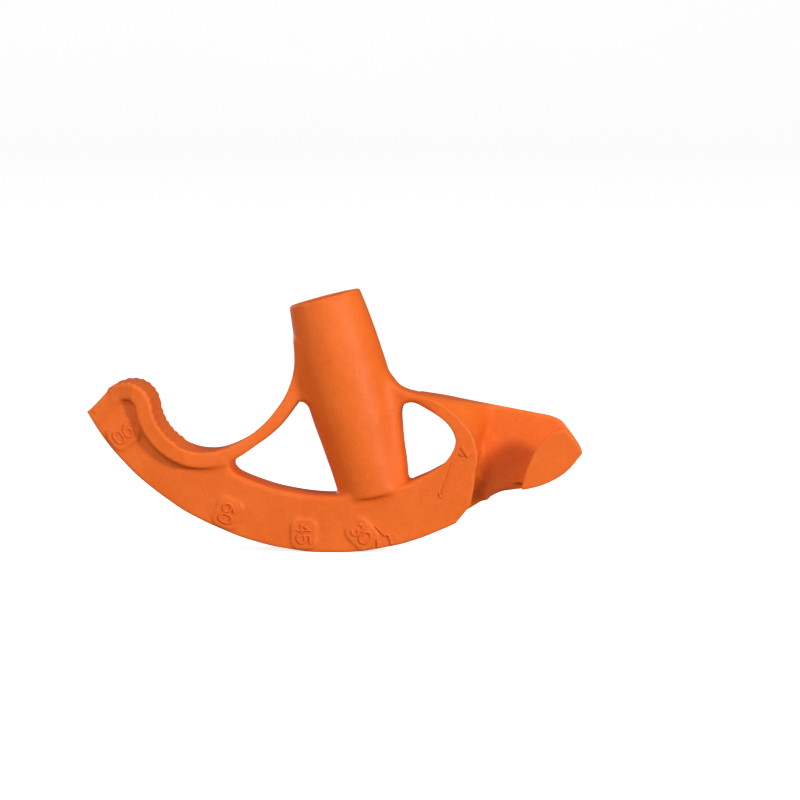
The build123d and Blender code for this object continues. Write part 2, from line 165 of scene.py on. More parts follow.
# The front strut's nose leans back to the far wall. The lean grows from nothing to NOSE_SLOPE between these
# heights and places, starts at NOSE_SLOPE_Y and goes on for NOSE_SLOPE_RUN across the shoe.
NOSE_SLOPE = 0.62
NOSE_SLOPE_Z = (58, 88)
NOSE_SLOPE_X = (48, 60)
NOSE_SLOPE_Y = -15.0
NOSE_SLOPE_RUN = 30.0
NOSE_FROM_X = 50.0
STRUT_PLAN = [(15, 8), (40, 11), (62, HALF_W), (200, HALF_W)]  # half the front strut's width against X
TOP_LINE = [(57, 90.6), (125, 77.9)]
TOP_EDGE = 2.0
TOP_LINE_FADE = 6.0
TOP_LINE_FADE_X = (40, 51)
WALL_START = (66, 92)
WALL_END = [(122, 81), (131.2, 75.2), (135.4, 69.3), (138, 62), (140, 56.5)]
WALL_BOTTOM = [
    (140, 56.5), (134, 47.5), (122, 39.6), (112, 36),
    (104, 34.8), (97, 33.6), (91.5, 31.2), (88, 29.4),
]
WALL_ROOT = [(84, 44.3), (78, 66)]
LIP_BOTTOM = [(110, 36.8), (117, 38), (124, 40.3), (132, 44.3), (139, 50), (146, 58.7)]
LIP_END = [(146, 58.7), (142.8, 64.2), (138.6, 69.3), (134.8, 72.3)]
LIP_TOP = [
    (134.8, 72.3), (129.5, 70.8), (124, 66.5), (119.5, 61),
    (115.5, 53.5), (112.3, 45.5), (110, 36.8),
]
CRADLE_INSIDE = [(128, 75), (101, 37)]
LIP_BACK_Y = 2.0
HOOK_DRAFT = 0.08
HOOK_FILLET = 4.0
HOOK_EDGE = 0.5

# ---- raised marks
PAD_T = 0.85
PAD_R = 150.0
PAD_LENGTH = 18.0
PAD_WIDTH = 15.5
PAD_CORNER = 5.0
PAD_EDGE = 0.4
PAD_FILLET = 1.0
MARK_R = {"90": 151.2}
MARK_ANGLES = {"30": 7.0, "45": -5.8, "60": -23.3, "90": -52.4}
TEXT_TILT = {"30": 38.0, "45": 6.0, "60": 0.0, "90": 0.0}
DIGIT_H = 7.4
DIGIT_W = 4.8
DIGIT_PITCH = 6.2
BEAD_R = 0.66
BEAD_RISE = 1.05
BEAD_SINK = 0.35  # how deep a bead reaches into the flank
SMALL_MARKS = ["start_arrow", "star_mark", "hook_pointer"]
ARROW_LINES = [
    [(26.6, 15.2), (31.9, 10.1)],
    [(32.3, 10.9), (34.4, 9.8)],
    [(27.0, 9.0), (28.0, 3.8)],
    [(34.6, 9.4), (35.7, 5.4)],
]
STAR_LINES = [[(19.6, 16.0), (21.8, 16.0)], [(20.1, 15.1), (21.3, 16.9)], [(20.1, 16.9), (21.3, 15.1)]]
POINTER_LINES = [[(76.2, 61.0), (79.7, 56.0)], [(76.9, 61.6), (80.4, 56.6)], [(75.2, 57.8), (76.6, 56.6)]]
FLANK_ARROW_LINES = [[(70.8, 52.6), (63.8, 32.2)], [(66.2, 34.0), (63.8, 32.2), (63.2, 35.3)]]
FLANK_ARROW_BEAD = (0.5, 0.45)  # its radius and rise

# ---- the unevenness of the cast surface
WAVE_SEED = 7
WAVE_COUNT = 14
WAVE_LENGTHS = (14, 34)
WAVE_HEIGHT = 0.03

# ---- stage, in metres
SWEEP_R = 6.0
SWEEP_BEND_R = 1.5
SWEEP_TOP = 3.0
SWEEP_SEGMENTS = 96
WORLD_STRENGTH = 0.28
LIT_POINT = (0.0, 0.0, 0.07)
LIGHTS = {  # place, diameter, power and colour
    "key": ((1.55, -1.25, 0.50), 0.36, 27, (1.0, 0.985, 0.96)),
    "front": ((-0.15, -1.75, 0.75), 0.8, 9.5, (1, 1, 1)),
    "left": ((-1.7, -0.9, 0.7), 0.7, 9, (1, 1, 1)),
    "top": ((0.1, -0.2, 1.3), 0.8, 3, (1, 1, 1)),
    "back": ((-1.1, 1.6, 0.35), 0.9, 6, (1, 1, 1)),
}
AIM = (0.0405, -0.017, 0.0885)
AZIMUTH = 5.0
ELEVATION = 4.3
DISTANCE = 4.0
LENS = 313

ARC_CENTRE = (0.0, RIM_R)


def around(centre, radius, angle):
    """The point (x, z) on a circle at an angle from +X towards +Z."""
    return (centre[0] + radius * cos(radians(angle)), centre[1] + radius * sin(radians(angle)))


def on_shoe(radius, angle):
    """The point (x, z) on the shoe at an angle from straight down."""
    return around(ARC_CENTRE, radius, angle - 90)


def arc(centre, radius, start, end, step=2.0):
    """Points along an arc, both ends included."""
    count = max(2, ceil(abs(end - start) / step) + 1)
    return [around(centre, radius, a) for a in np.linspace(start, end, count)]


def smooth_line(points, count=8):
    """Points along a Catmull-Rom curve, count of them from each given point to the next."""
    p = np.array([points[0], *points, points[-1]], float)
    out = []
    for i in range(1, len(p) - 2):
        a, b, c, d = p[i - 1 : i + 3]
        for t in np.linspace(0, 1, count, endpoint=False):
            cubic = 3 * b + d - a - 3 * c
            out.append(tuple(b + 0.5 * t * (c - a + t * (2 * a - 5 * b + 4 * c - d + t * cubic))))
    return out + [tuple(p[-1])]


HEEL = around(CROWN, CROWN_R + HEEL_R, CROWN_END)
STRUT = around(HEEL, STRUT_R - HEEL_R, HEEL_END + 180)
TIP_INNER = around(TIP, BAND_T, TIP_SLOPE - 90)

# ---- the field's grid: outlines lie in X and Z, and get their depth from Y
low = np.array(CAD_BOX[0]) / MM - MARGIN
steps = np.ceil((np.array(CAD_BOX[1]) / MM + MARGIN - low) / VOXEL).astype(int) + 1
X = (low[0] + VOXEL * np.arange(steps[0], dtype=np.float32))[:, None, None]
Y = (low[1] + VOXEL * np.arange(steps[1], dtype=np.float32))[None, :, None]
Z = (low[2] + VOXEL * np.arange(steps[2], dtype=np.float32))[None, None, :]
SHOE_RADIUS = np.hypot(X, Z - RIM_R)


def segment_distance(u, v, start, end):
    """Distance in a plane to the straight line from start to end."""
    du, dv = end[0] - start[0], end[1] - start[1]
    t = np.clip(((u - start[0]) * du + (v - start[1]) * dv) / max(du * du + dv * dv, 1e-9), 0, 1)
    return np.hypot(u - start[0] - t * du, v - start[1] - t * dv)


def outline_field(points):
    """Distance to a closed outline in X and Z, negative inside."""
    nearest = np.float32(FAR)
    inside = np.zeros((X.shape[0], 1, Z.shape[2]), bool)
    for start, end in zip(points, points[1:] + points[:1]):
        if hypot(end[0] - start[0], end[1] - start[1]) < 1e-6:
            continue
        nearest = np.minimum(nearest, segment_distance(X, Z, start, end))
        low_z, high_z = sorted((start[1], end[1]))
        if low_z < high_z:
            slant = (end[0] - start[0]) / (end[1] - start[1])
            inside ^= (Z >= low_z) & (Z < high_z) & (X < start[0] + (Z - start[1]) * slant)
    return np.where(inside, -nearest, nearest).astype(np.float32)


def corner(a, b, rounding):
    """The overlap of two fields with its edge rounded."""
    a, b = a + rounding, b + rounding
    outer = np.sqrt(np.maximum(a, 0) ** 2 + np.maximum(b, 0) ** 2)
    return outer + np.minimum(np.maximum(a, b), 0) - rounding


def join(a, b, fillet):
    """Two fields as one, with a fillet where they meet."""
    h = np.maximum(fillet - np.abs(a - b), 0) / fillet
    return np.minimum(a, b) - h * h * fillet / 4


def cut(a, b, rounding):
    """Field a with b taken out of it, and the edge rounded."""
    return -join(-a, b, rounding)


def slab(outline, y_low, y_high, rounding):
    """An outline given its depth from y_low to y_high."""
    return corner(outline, np.abs(Y - (y_low + y_high) / 2) - (y_high - y_low) / 2, rounding)


def eased(start, end, x):
    """0 below start, 1 above end, and smooth between."""
    t = np.clip((x - start) / (end - start), 0, 1)
    return t * t * (3 - 2 * t)


def along_x(plan):
    """A value for each X from a list of (x, value)."""
    return np.interp(X, *zip(*plan)).astype(np.float32)


def flank_frame(radius, angle, tilt, facing):
    """A mark's origin on the flank, the way it reads (towards the rim) and the way its top points."""
    turn = radians(angle - 90 + tilt)
    return on_shoe(radius, angle), (cos(turn), sin(turn)), (facing * sin(turn), -facing * cos(turn))


def rounded_rectangle(u, v, length, width, radius):
    """Distance to a rectangle with rounded corners about the origin."""
    du = np.abs(u) - length / 2 + radius
    dv = np.abs(v) - width / 2 + radius
    return np.hypot(np.maximum(du, 0), np.maximum(dv, 0)) + np.minimum(np.maximum(du, dv), 0) - radius


# ---- the parts of the casting, each as a field
def shoe_outlines():
    """The curved shoe with the web under the pedal: its near side, which ends in a nose, and its far one."""
    rim = [
        on_shoe(RIM_R + RIM_FLARE * float(eased(*RIM_FLARE_SPAN, angle)), angle)
        for angle in np.linspace(FULL_RIM_END, SHOE_START, 60)
    ]
    near_end = [*NOSE[4:], *rim]
    far_end = [*NOSE[4:6], WALL_ROOT[0], *[on_shoe(HOOK_RIM_R, angle) for angle in HOOK_RIM_SPAN], *rim]
    web = arc(HEEL, HEEL_R + BAND_T / 2, CROWN_END + 180, HEEL_END + 360)
    crown = arc(CROWN, CROWN_R - BAND_T / 2, TIP_SLOPE + 90, CROWN_END)
    window = arc(ARC_CENTRE, WINDOW_R, WINDOW_START - 90, WINDOW_END - 90)
    back = [*crown, *web, *smooth_line([WEB_CORNER[0], *WEB_CORNER, window[0]]), *window]
    return outline_field([*near_end, TIP_INNER, *back]), outline_field([*far_end, TIP_INNER, *back])


def front_strut_field():
    """The strut in front of the window, with no width of its own. Its nose leans back to the far wall."""
    near = smooth_line(STRUT_TOP + NOSE[1:6])
    window = smooth_line([on_shoe(WINDOW_R, WINDOW_END), *WINDOW_EDGE, *WINDOW_CORNER])
    foot = [on_shoe(STRUT_FOOT_R, STRUT_FOOT_END), on_shoe(STRUT_FOOT_R, WINDOW_END)]
    outline = outline_field([*near, *foot, *window, *FRONT_STRUT_ROOT])
    slope = NOSE_SLOPE * eased(*NOSE_SLOPE_Z, Z) * eased(*NOSE_SLOPE_X, X)
    leaning = (outline - np.clip(Y - NOSE_SLOPE_Y, 0, NOSE_SLOPE_RUN) * slope) / np.sqrt(1 + slope**2)
    opening = outline_field([*window, OPENING_CORNER])
    return np.where(X > NOSE_FROM_X, np.maximum(leaning, -opening), outline)


def above_top_line():
    """Height over the straight top of the nose and the hook, which fades out over the strut."""
    (x0, z0), (x1, z1) = TOP_LINE
    height = ((Z - z0) * (x1 - x0) - (X - x0) * (z1 - z0)) / hypot(x1 - x0, z1 - z0)
    return height - TOP_LINE_FADE * (1 - eased(*TOP_LINE_FADE_X, X))


def trough_field(outward):
    """A channel along the conduit, with a round bottom where outward is positive and straight walls above."""
    return np.hypot(np.minimum(-outward, 0), Y) - GROOVE_R


def conduit_outward():
    """Where the conduit is straight: distance along it past the bend, and outward from its centre line."""
    x, z = on_shoe(GROOVE_LINE_R, HOOK_ANGLE)
    turn = radians(HOOK_ANGLE)
    return (X - x) * cos(turn) + (Z - z) * sin(turn), (X - x) * sin(turn) - (Z - z) * cos(turn)


def hook_field():
    """The hook's far wall, the cradle under the conduit and the lip in front of it."""
    wall = outline_field([WALL_START, *smooth_line(WALL_END), *smooth_line(WALL_BOTTOM), *WALL_ROOT])
    bottom = smooth_line(LIP_BOTTOM)
    end = smooth_line(LIP_END)
    lip = outline_field([*bottom, *end, *smooth_line(LIP_TOP)])
    cradle = outline_field([*bottom, *end, *CRADLE_INSIDE])
    draft = HOOK_DRAFT * (Y + HALF_W)
    lip_slab = slab(lip + draft, -HALF_W, LIP_BACK_Y, rounding=0.7)
    cradle_slab = slab(cradle + draft, 0, HALF_W, rounding=1.0)
    wall_slab = slab(wall, WALL_INNER_Y, HALF_W, rounding=1.6)
    hook = join(join(lip_slab, cradle_slab, fillet=1.0), wall_slab, fillet=3.0)
    return cut(hook, trough_field(conduit_outward()[1]), rounding=0.8)


def band_field():
    """The pedal and the rear strut: one band that narrows towards the socket."""
    upper = [TIP, *arc(CROWN, CROWN_R, TIP_SLOPE + 90, CROWN_END)]
    upper += arc(HEEL, HEEL_R, CROWN_END + 180, HEEL_END + 360)
    upper += arc(STRUT, STRUT_R, HEEL_END, STRUT_END)
    under = arc(CROWN, CROWN_R - BAND_T, TIP_SLOPE + 90, CROWN_END)
    under += arc(HEEL, HEEL_R + BAND_T, CROWN_END + 180, HEEL_END + 360)
    under += smooth_line([under[-1], *BAND_UNDERSIDE])
    outline = outline_field([*upper, *BAND_ROOT, *under[::-1], TIP_INNER])
    return corner(outline, np.abs(Y) - along_x(BAND_PLAN), BAND_EDGE)


def rib_field():
    """The round cross ribs on the pedal, from its tip over the crown and down to the heel."""
    crown_turn = degrees(RIB_PITCH / CROWN_R)
    heel_turn = degrees(RIB_PITCH / HEEL_R)
    crown_start = TIP_SLOPE + 90 - crown_turn / 2
    heel_start = CROWN_END + 180 + heel_turn / 2
    points = [around(CROWN, CROWN_R - RIB_SINK, crown_start - crown_turn * i) for i in range(CROWN_RIBS)]
    points += [around(HEEL, HEEL_R + RIB_SINK, heel_start + heel_turn * i) for i in range(HEEL_RIBS)]
    ribs = np.float32(FAR)
    for x, z in points:
        ribs = np.minimum(ribs, np.hypot(X - x, Z - z) - RIB_R)
    return corner(ribs, np.abs(Y) - along_x(BAND_PLAN) + RIB_INSET, RIB_EDGE)


def socket_fields():
    """The barrel, and the bore and screw hole that are cut from it."""
    dx, dz = X - MOUTH[0], Z - MOUTH[1]
    below = dx * sin(radians(LEAN)) - dz * cos(radians(LEAN))
    across = dx * cos(radians(LEAN)) + dz * sin(radians(LEAN))
    radius = np.hypot(across, Y)
    depths, radii = zip(*smooth_line(BARREL))
    barrel = corner(radius - np.interp(below, depths, radii).astype(np.float32), -below, MOUTH_EDGE)
    barrel = corner(barrel, SHOE_RADIUS - FOOT_R, FOOT_EDGE)
    bore = np.maximum(radius - BORE_R, below - BORE_DEPTH)
    screw_hole = np.maximum(np.hypot(across, below - SCREW_BELOW_MOUTH) - SCREW_HOLE_R, -Y)
    return barrel, bore, screw_hole


def pad_field():
    """The raised pads that carry the numerals, on both flanks."""
    pads = np.float32(FAR)
    for facing in (-1, 1):
        for text, angle in MARK_ANGLES.items():
            origin, reading, top = flank_frame(MARK_R.get(text, PAD_R), angle, TEXT_TILT[text], facing)
            u = (X - origin[0]) * reading[0] + (Z - origin[1]) * reading[1]
            v = (X - origin[0]) * top[0] + (Z - origin[1]) * top[1]
            outline = rounded_rectangle(u, v, PAD_LENGTH, PAD_WIDTH, PAD_CORNER)
            pads = np.minimum(pads, corner(outline, np.abs(Y * facing - HALF_W) - PAD_T, PAD_EDGE))
    return pads


def waviness():
    """The slight unevenness of a surface cast in sand, in millimetres."""
    random = np.random.default_rng(WAVE_SEED)
    total = np.float32(0)
    for _ in range(WAVE_COUNT):
        direction = random.normal(size=3)
        direction *= 2 * pi / random.uniform(*WAVE_LENGTHS) / np.linalg.norm(direction)
        phase = X * direction[0] + Y * direction[1] + Z * direction[2] + random.uniform(0, 2 * pi)
        total = total + np.sin(phase, dtype=np.float32)
    return WAVE_HEIGHT * total


def shoe_and_strut_field(groove):
    """The shoe, the web and the front strut with their widths, their edges and the groove."""
    near, far = shoe_outlines()
    body = join(np.where(Y < 0, near, far), front_strut_field(), FRONT_STRUT_FILLET)
    foot_start, foot_end = STRUT_FOOT_SPAN
    at_foot = eased(*foot_start, X) * (1 - eased(*foot_end, X))
    full_width_from = WINDOW_R - FULL_WIDTH_SHORT * (1 - at_foot)
    at_shoe = eased(full_width_from - FULL_WIDTH_BLEND, full_width_from + FULL_WIDTH_BLEND, SHOE_RADIUS)
    half_width = along_x(STRUT_PLAN) * (1 - at_shoe) + HALF_W * at_shoe
    at_rim = eased(*RIM_EDGE_BLEND, SHOE_RADIUS)
    body = corner(body, np.abs(Y) - half_width, along_x(EDGE_PLAN) * (1 - at_rim) + RIM_EDGE * at_rim)
    return cut(body, groove, GROOVE_EDGE)


def casting_field():
    """The whole casting."""
    groove = trough_field(GROOVE_LINE_R - SHOE_RADIUS)
    along, outward = conduit_outward()
    conduit = np.hypot(np.where(along < 0, GROOVE_LINE_R - SHOE_RADIUS, outward), Y) - GROOVE_R
    body = join(shoe_and_strut_field(groove), hook_field(), HOOK_FILLET)
    body = corner(body, np.abs(Y) - HALF_W, HOOK_EDGE)
    body = np.maximum(corner(body, above_top_line(), TOP_EDGE), -conduit)
    body = join(body, cut(band_field(), groove, GROOVE_EDGE), BAND_FILLET)
    body = join(body, rib_field(), RIB_EDGE)
    body = join(body, pad_field(), PAD_FILLET)
    barrel, bore, screw_hole = socket_fields()
    fillet = FOOT_FILLET + (BARREL_FILLET - FOOT_FILLET) * eased(*FILLET_GROWS, Z)
    body = join(body, barrel, fillet)
    body = cut(body, bore, BORE_EDGE)
    body = cut(body, screw_hole, SCREW_HOLE_EDGE)
    return body + waviness()


def field_object(name, field, voxel, place):
    """The surface where a field is zero, as a smooth mesh. place turns grid coordinates into metres."""
    band = FIELD_BAND * voxel
    grid = openvdb.FloatGrid(band)
    grid.copyFromArray(np.ascontiguousarray(np.clip(field, -band, band), dtype=np.float32))
    points, triangles, quads = grid.convertToPolygons(0.0, 0.0)
    corners = np.concatenate([quads.ravel(), triangles.ravel()]).astype(np.int32)
    sizes = [4] * len(quads) + [3] * len(triangles)
    mesh = bpy.data.meshes.new(name)
    mesh.vertices.add(len(points))
    mesh.vertices.foreach_set("co", place(points).astype(np.float32).ravel())
    mesh.loops.add(len(corners))
    mesh.loops.foreach_set("vertex_index", corners)
    mesh.polygons.add(len(sizes))
    mesh.polygons.foreach_set("loop_start", np.concatenate([[0], np.cumsum(sizes)[:-1]]).astype(np.int32))
    mesh.update(calc_edges=True)
    mesh.shade_smooth()
    return linked(name, mesh)


def linked(name, data):
    """A new object in the scene."""
    made = bpy.data.objects.new(name, data)
    bpy.context.collection.objects.link(made)
    return made


def ring_faces(rings, count):
    """Faces between closed rings of vertices that follow each other."""
    faces = []
    for ring in range(rings - 1):
        for i in range(count):
            j = (i + 1) % count
            a, b, c, d = ring * count + i, (ring + 1) * count + i, (ring + 1) * count + j, ring * count + j
            faces.append((a, b, c, d))
    return faces


# ---- numerals and small marks: half-round beads on the flank
def digit_strokes(digit):
    """The centre lines of a digit's strokes, about the digit's centre."""
    r = DIGIT_W / 2
    top = DIGIT_H / 2
    if digit == "0":
        return [arc((0, top - r), r, 0, 180, 15) + arc((0, r - top), r, 180, 360, 15) + [(r, top - r)]]
    if digit == "3":
        return [arc((0, top / 2), top / 2, 150, -90, 15) + arc((0, -top / 2), top / 2, 90, -150, 15)]
    if digit == "4":
        return [[(r / 2, -top), (r / 2, top), (-r, -top / 3), (r, -top / 3)]]
    if digit == "5":
        stem_x = -0.8 * r
        bowl_turns = [(0.3 * r, 0.25 * top), (r, -0.35 * top), (0, -top), (-r, -0.85 * top)]
        return [[(r, top), (stem_x, top), *smooth_line([(stem_x, 0.1 * top), *bowl_turns])]]
    tail = smooth_line([(r, top - r), (0.75 * r, -0.35 * top), (-0.5 * r, -top)])
    nine = [arc((0, top - r), r, 0, 360, 15), tail]
    if digit == "6":
        return [[(-u, -v) for u, v in line] for line in nine]
    return nine


def text_strokes(text):
    """The strokes of a numeral, about its centre."""
    lines = []
    for i, digit in enumerate(text):
        shift = (i - (len(text) - 1) / 2) * DIGIT_PITCH
        lines += [[(u + shift, v) for u, v in line] for line in digit_strokes(digit)]
    return lines


def bead_object(name, lines, origin, reading, top, facing, base, radius=BEAD_R, rise=BEAD_RISE):
    """Strokes as rounded beads, which stand on the surface that is base away from the middle plane."""
    points = [point for line in lines for point in line]
    start = np.array([min(p[0] for p in points), min(p[1] for p in points)]) - 2 * radius
    end = np.array([max(p[0] for p in points), max(p[1] for p in points)]) + 2 * radius
    count = np.ceil((end - start) / MARK_VOXEL).astype(int) + 1
    u = (start[0] + MARK_VOXEL * np.arange(count[0]))[:, None, None]
    v = (start[1] + MARK_VOXEL * np.arange(count[1]))[None, :, None]
    foot = -FIELD_BAND * MARK_VOXEL
    h = (foot + MARK_VOXEL * np.arange(ceil((rise - foot) / MARK_VOXEL) + FIELD_BAND))[None, None, :]
    nearest = FAR
    for line in lines:
        for a, b in zip(line, line[1:]):
            nearest = np.minimum(nearest, segment_distance(u, v, a, b))
    field = np.maximum(np.hypot(nearest, h * radius / rise) - radius, -BEAD_SINK - h)

    def place(p):
        across = start[0] + MARK_VOXEL * p[:, 0]
        upward = start[1] + MARK_VOXEL * p[:, 1]
        x = origin[0] + across * reading[0] + upward * top[0]
        z = origin[1] + across * reading[1] + upward * top[1]
        y = facing * (base + foot + MARK_VOXEL * p[:, 2])
        return np.stack([x, y, z], axis=1) * MM

    return field_object(name, field, MARK_VOXEL, place)


def screw_object():
    """A socket set screw: a helical thread, a cup point and a hexagonal key socket."""
    count, rings_per_pitch = 60, 8
    turn = np.linspace(0, 2 * pi, count, endpoint=False)
    circle = np.ones(count)
    hexagon = KEY_HALF / np.cos((turn + pi / 6) % (pi / 3) - pi / 6)
    key_floor = SCREW_LENGTH - KEY_DEPTH
    # each ring is its radii and its distance from the point: first the cup, then the thread, then the key
    rings = [(0.02 * circle, 1.2), (2.4 * circle, 0.15), (2.8 * circle, 0)]
    for s in np.linspace(0, SCREW_LENGTH, int(SCREW_LENGTH / THREAD_PITCH * rings_per_pitch) + 1):
        wave = np.abs(((s / THREAD_PITCH - turn / (2 * pi)) % 1) * 2 - 1)
        thread = SCREW_R - THREAD_DEPTH * np.clip(1.15 * wave - 0.08, 0, 1)  # flat at its crest and root
        chamfer = SCREW_R - SCREW_CHAMFER + min(s, SCREW_LENGTH - s) * 1.1
        rings.append((np.minimum(thread, chamfer), s))
    for grown, below_end in ((0.3, 0), (0.05, 0.25), (0, 0.5), (0, KEY_DEPTH)):
        rings.append((hexagon + grown, SCREW_LENGTH - below_end))
    rings += [(hexagon * 0.98, key_floor - 0.1), (0.02 * circle, key_floor - 1)]
    axis_x, axis_z = around(MOUTH, SCREW_BELOW_MOUTH, LEAN - 90)
    vertices = []
    for radii, s in rings:
        for r, t in zip(radii, turn):
            x, z = axis_x + r * cos(t), axis_z + r * sin(t)
            vertices.append((x * MM, (SCREW_TIP_Y + s) * MM, z * MM))
    last = (len(rings) - 1) * count
    faces = ring_faces(len(rings), count)
    faces += [tuple(range(count)), tuple(range(last, last + count))[::-1]]
    mesh = bpy.data.meshes.new("socket_screw")
    mesh.from_pydata(vertices, [], faces)
    mesh.shade_smooth()
    mesh.set_sharp_from_angle(angle=radians(32))
    return linked("socket_screw", mesh)


# ---- materials
ENAMEL = [(0.83, 0.142, 0.013), (0.88, 0.162, 0.018)]
# painted highlight: the lighter, yellower orange that convex edges are mixed towards
PAINTED_EDGE_HIGHLIGHT = (0.95, 0.27, 0.06)
# painted shade: the dark orange that creases and hollows are mixed towards
PAINTED_CREASE_SHADE = (0.42, 0.05, 0.006)
BLACK_OXIDE = [(0.012, 0.012, 0.014), (0.034, 0.031, 0.030)]
WORN_STEEL = (0.30, 0.29, 0.28)
FLOOR_TO_OBJECT = (0.30, 0.30, 0.30)
FLOOR_GLOW = 0.78


def node_material(name):
    """A new material with its nodes, links and shader."""
    made = bpy.data.materials.new(name)
    made.use_nodes = True
    return made, made.node_tree.nodes, made.node_tree.links, made.node_tree.nodes["Principled BSDF"]


def noise(nodes, links, place, size_mm, detail=3.0, roughness=0.5, distortion=0.0):
    """Noise whose features are about size_mm across."""
    made = nodes.new("ShaderNodeTexNoise")
    made.inputs["Scale"].default_value = 1 / (size_mm * MM)
    made.inputs["Detail"].default_value = detail
    made.inputs["Roughness"].default_value = roughness
    made.inputs["Distortion"].default_value = distortion
    links.new(place, made.inputs["Vector"])
    return made.outputs["Fac"]


def ramp(nodes, links, value, stops):
    """Maps a value through (position, value or colour) stops."""
    made = nodes.new("ShaderNodeValToRGB")
    made.color_ramp.elements.remove(made.color_ramp.elements[1])
    for i, (position, colour) in enumerate(stops):
        stop = made.color_ramp.elements[0] if i == 0 else made.color_ramp.elements.new(position)
        stop.position = position
        stop.color = (colour, colour, colour, 1) if isinstance(colour, float) else (*colour, 1)
    links.new(value, made.inputs["Fac"])
    return made.outputs["Color"]


def mix(nodes, links, factor, a, b, blend="MIX"):
    """Colour a turned into b by factor. Each is a socket, a colour or a number."""
    made = nodes.new("ShaderNodeMix")
    made.data_type = "RGBA"
    made.blend_type = blend
    for value, socket in ((factor, made.inputs[0]), (a, made.inputs[6]), (b, made.inputs[7])):
        if isinstance(value, bpy.types.NodeSocket):
            links.new(value, socket)
        elif isinstance(value, tuple):
            socket.default_value = (*value, 1)
        else:
            socket.default_value = value
    return made.outputs[2]


def bump(nodes, links, height, height_mm, below=None):
    """Relief of height_mm, on top of the relief below it."""
    made = nodes.new("ShaderNodeBump")
    made.inputs["Strength"].default_value = 1.0
    made.inputs["Distance"].default_value = height_mm * MM
    links.new(height, made.inputs["Height"])
    if below is not None:
        links.new(below, made.inputs["Normal"])
    return made.outputs["Normal"]


def paint_material():
    """Satin orange enamel over a sand casting: orange peel, fine grain, a painted highlight on the convex
    edges and painted shade in the creases.
    """
    made, nodes, links, shader = node_material("orange_enamel")
    place = nodes.new("ShaderNodeTexCoord").outputs["Object"]
    patches = noise(nodes, links, place, 26, 4)
    tone = ramp(nodes, links, patches, [(0.36, ENAMEL[0]), (0.64, ENAMEL[1])])
    mottle = ramp(nodes, links, noise(nodes, links, place, 3.2, 3, 0.6), [(0.3, 0.955), (0.7, 1.0)])
    colour = mix(nodes, links, 1.0, tone, mottle, "MULTIPLY")
    bend = nodes.new("ShaderNodeNewGeometry").outputs["Pointiness"]
    # painted highlight: convex edges, found by pointiness, are lightened towards the highlight colour
    edge = ramp(nodes, links, bend, [(0.515, 0.0), (0.60, 1.0)])
    # painted shade: concave creases, found by pointiness, are darkened towards the shade colour
    crease = ramp(nodes, links, bend, [(0.40, 1.0), (0.488, 0.0)])
    colour = mix(nodes, links, mix(nodes, links, 0.4, (0, 0, 0), edge), colour, PAINTED_EDGE_HIGHLIGHT)
    colour = mix(nodes, links, mix(nodes, links, 0.55, (0, 0, 0), crease), colour, PAINTED_CREASE_SHADE)
    links.new(colour, shader.inputs["Base Color"])
    gloss = ramp(nodes, links, noise(nodes, links, place, 8, 5, 0.6), [(0.3, 0.42), (0.7, 0.55)])
    links.new(gloss, shader.inputs["Roughness"])
    shader.inputs["Specular IOR Level"].default_value = 0.22
    lumps = bump(nodes, links, noise(nodes, links, place, 5.0, 2, 0.5), 0.22)
    peel = bump(nodes, links, noise(nodes, links, place, 1.5, 3, 0.6, 0.2), 0.21, below=lumps)
    grain = bump(nodes, links, noise(nodes, links, place, 0.8, 2, 0.6), 0.08, below=peel)
    links.new(grain, shader.inputs["Normal"])
    return made


def steel_material():
    """Black-oxide steel: a dark uneven film with a faint grain, and bright wear on the crests."""
    made, nodes, links, shader = node_material("black_oxide_steel")
    place = nodes.new("ShaderNodeTexCoord").outputs["Object"]
    patches = noise(nodes, links, place, 2.2, 4, 0.6)
    film = ramp(nodes, links, patches, [(0.3, BLACK_OXIDE[0]), (0.7, BLACK_OXIDE[1])])
    bend = nodes.new("ShaderNodeNewGeometry").outputs["Pointiness"]
    worn = ramp(nodes, links, bend, [(0.55, 0.0), (0.68, 1.0)])
    colour = mix(nodes, links, mix(nodes, links, 0.5, (0, 0, 0), worn), film, WORN_STEEL)
    links.new(colour, shader.inputs["Base Color"])
    shader.inputs["Metallic"].default_value = 0.85
    gloss = ramp(nodes, links, noise(nodes, links, place, 0.9, 4, 0.6), [(0.3, 0.32), (0.7, 0.55)])
    links.new(gloss, shader.inputs["Roughness"])
    links.new(bump(nodes, links, noise(nodes, links, place, 0.35, 3, 0.6), 0.02), shader.inputs["Normal"])
    return made


def floor_material():
    """A pale floor that is bright to the camera and throws little light back at the object."""
    made, nodes, links, shader = node_material("pale_sweep")
    place = nodes.new("ShaderNodeTexCoord").outputs["Object"]
    pale = ramp(nodes, links, noise(nodes, links, place, 300, 2), [(0.3, 0.90), (0.7, 0.92)])
    seen = nodes.new("ShaderNodeLightPath").outputs["Is Camera Ray"]
    links.new(mix(nodes, links, seen, FLOOR_TO_OBJECT, pale), shader.inputs["Base Color"])
    strength = nodes.new("ShaderNodeMath")
    strength.operation = "MULTIPLY"
    strength.inputs[1].default_value = FLOOR_GLOW
    links.new(seen, strength.inputs[0])
    links.new(strength.outputs[0], shader.inputs["Emission Strength"])
    shader.inputs["Roughness"].default_value = 0.75
    shader.inputs["Specular IOR Level"].default_value = 0.1
    shader.inputs["Emission Color"].default_value = (1, 1, 1, 1)
    return made


